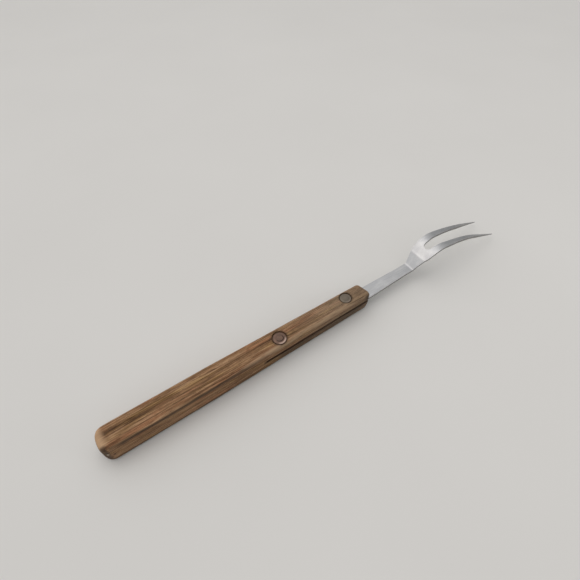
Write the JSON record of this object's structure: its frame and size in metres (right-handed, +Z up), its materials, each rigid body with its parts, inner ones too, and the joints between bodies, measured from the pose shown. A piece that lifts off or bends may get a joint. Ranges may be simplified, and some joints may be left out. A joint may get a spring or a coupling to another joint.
{
  "type": "serving fork",
  "caption": "Long serving fork: a stamped steel shank with a raised head and curved tines, its flat tang held in the saw cut of a tapered wood handle by cutler's rivets.",
  "frame": {"origin": "bottom centre of the bounding box, on the plane of the handle's flat underside, which is the surface the fork rests on", "axes": "+X from the handle's butt towards the tine tips, +Y across the fork, +Z up with the backs of the curved tines upwards"},
  "size_m": [0.3891, 0.022, 0.0286],
  "materials": {
    "wood": "worn oiled hardwood with dark open grain, lighter along its rubbed edges",
    "steel": "bare steel brushed along its length, with fine scratches",
    "copper": "tarnished copper-coloured rivet metal with worn turning rings"
  },
  "bodies": {
    "root": {"handle": "wood", "fork_blade": "steel", "rear_rivet_male": "copper", "rear_rivet_female": "copper", "front_rivet_male": "copper", "front_rivet_female": "copper"}
  },
  "joints": []
}
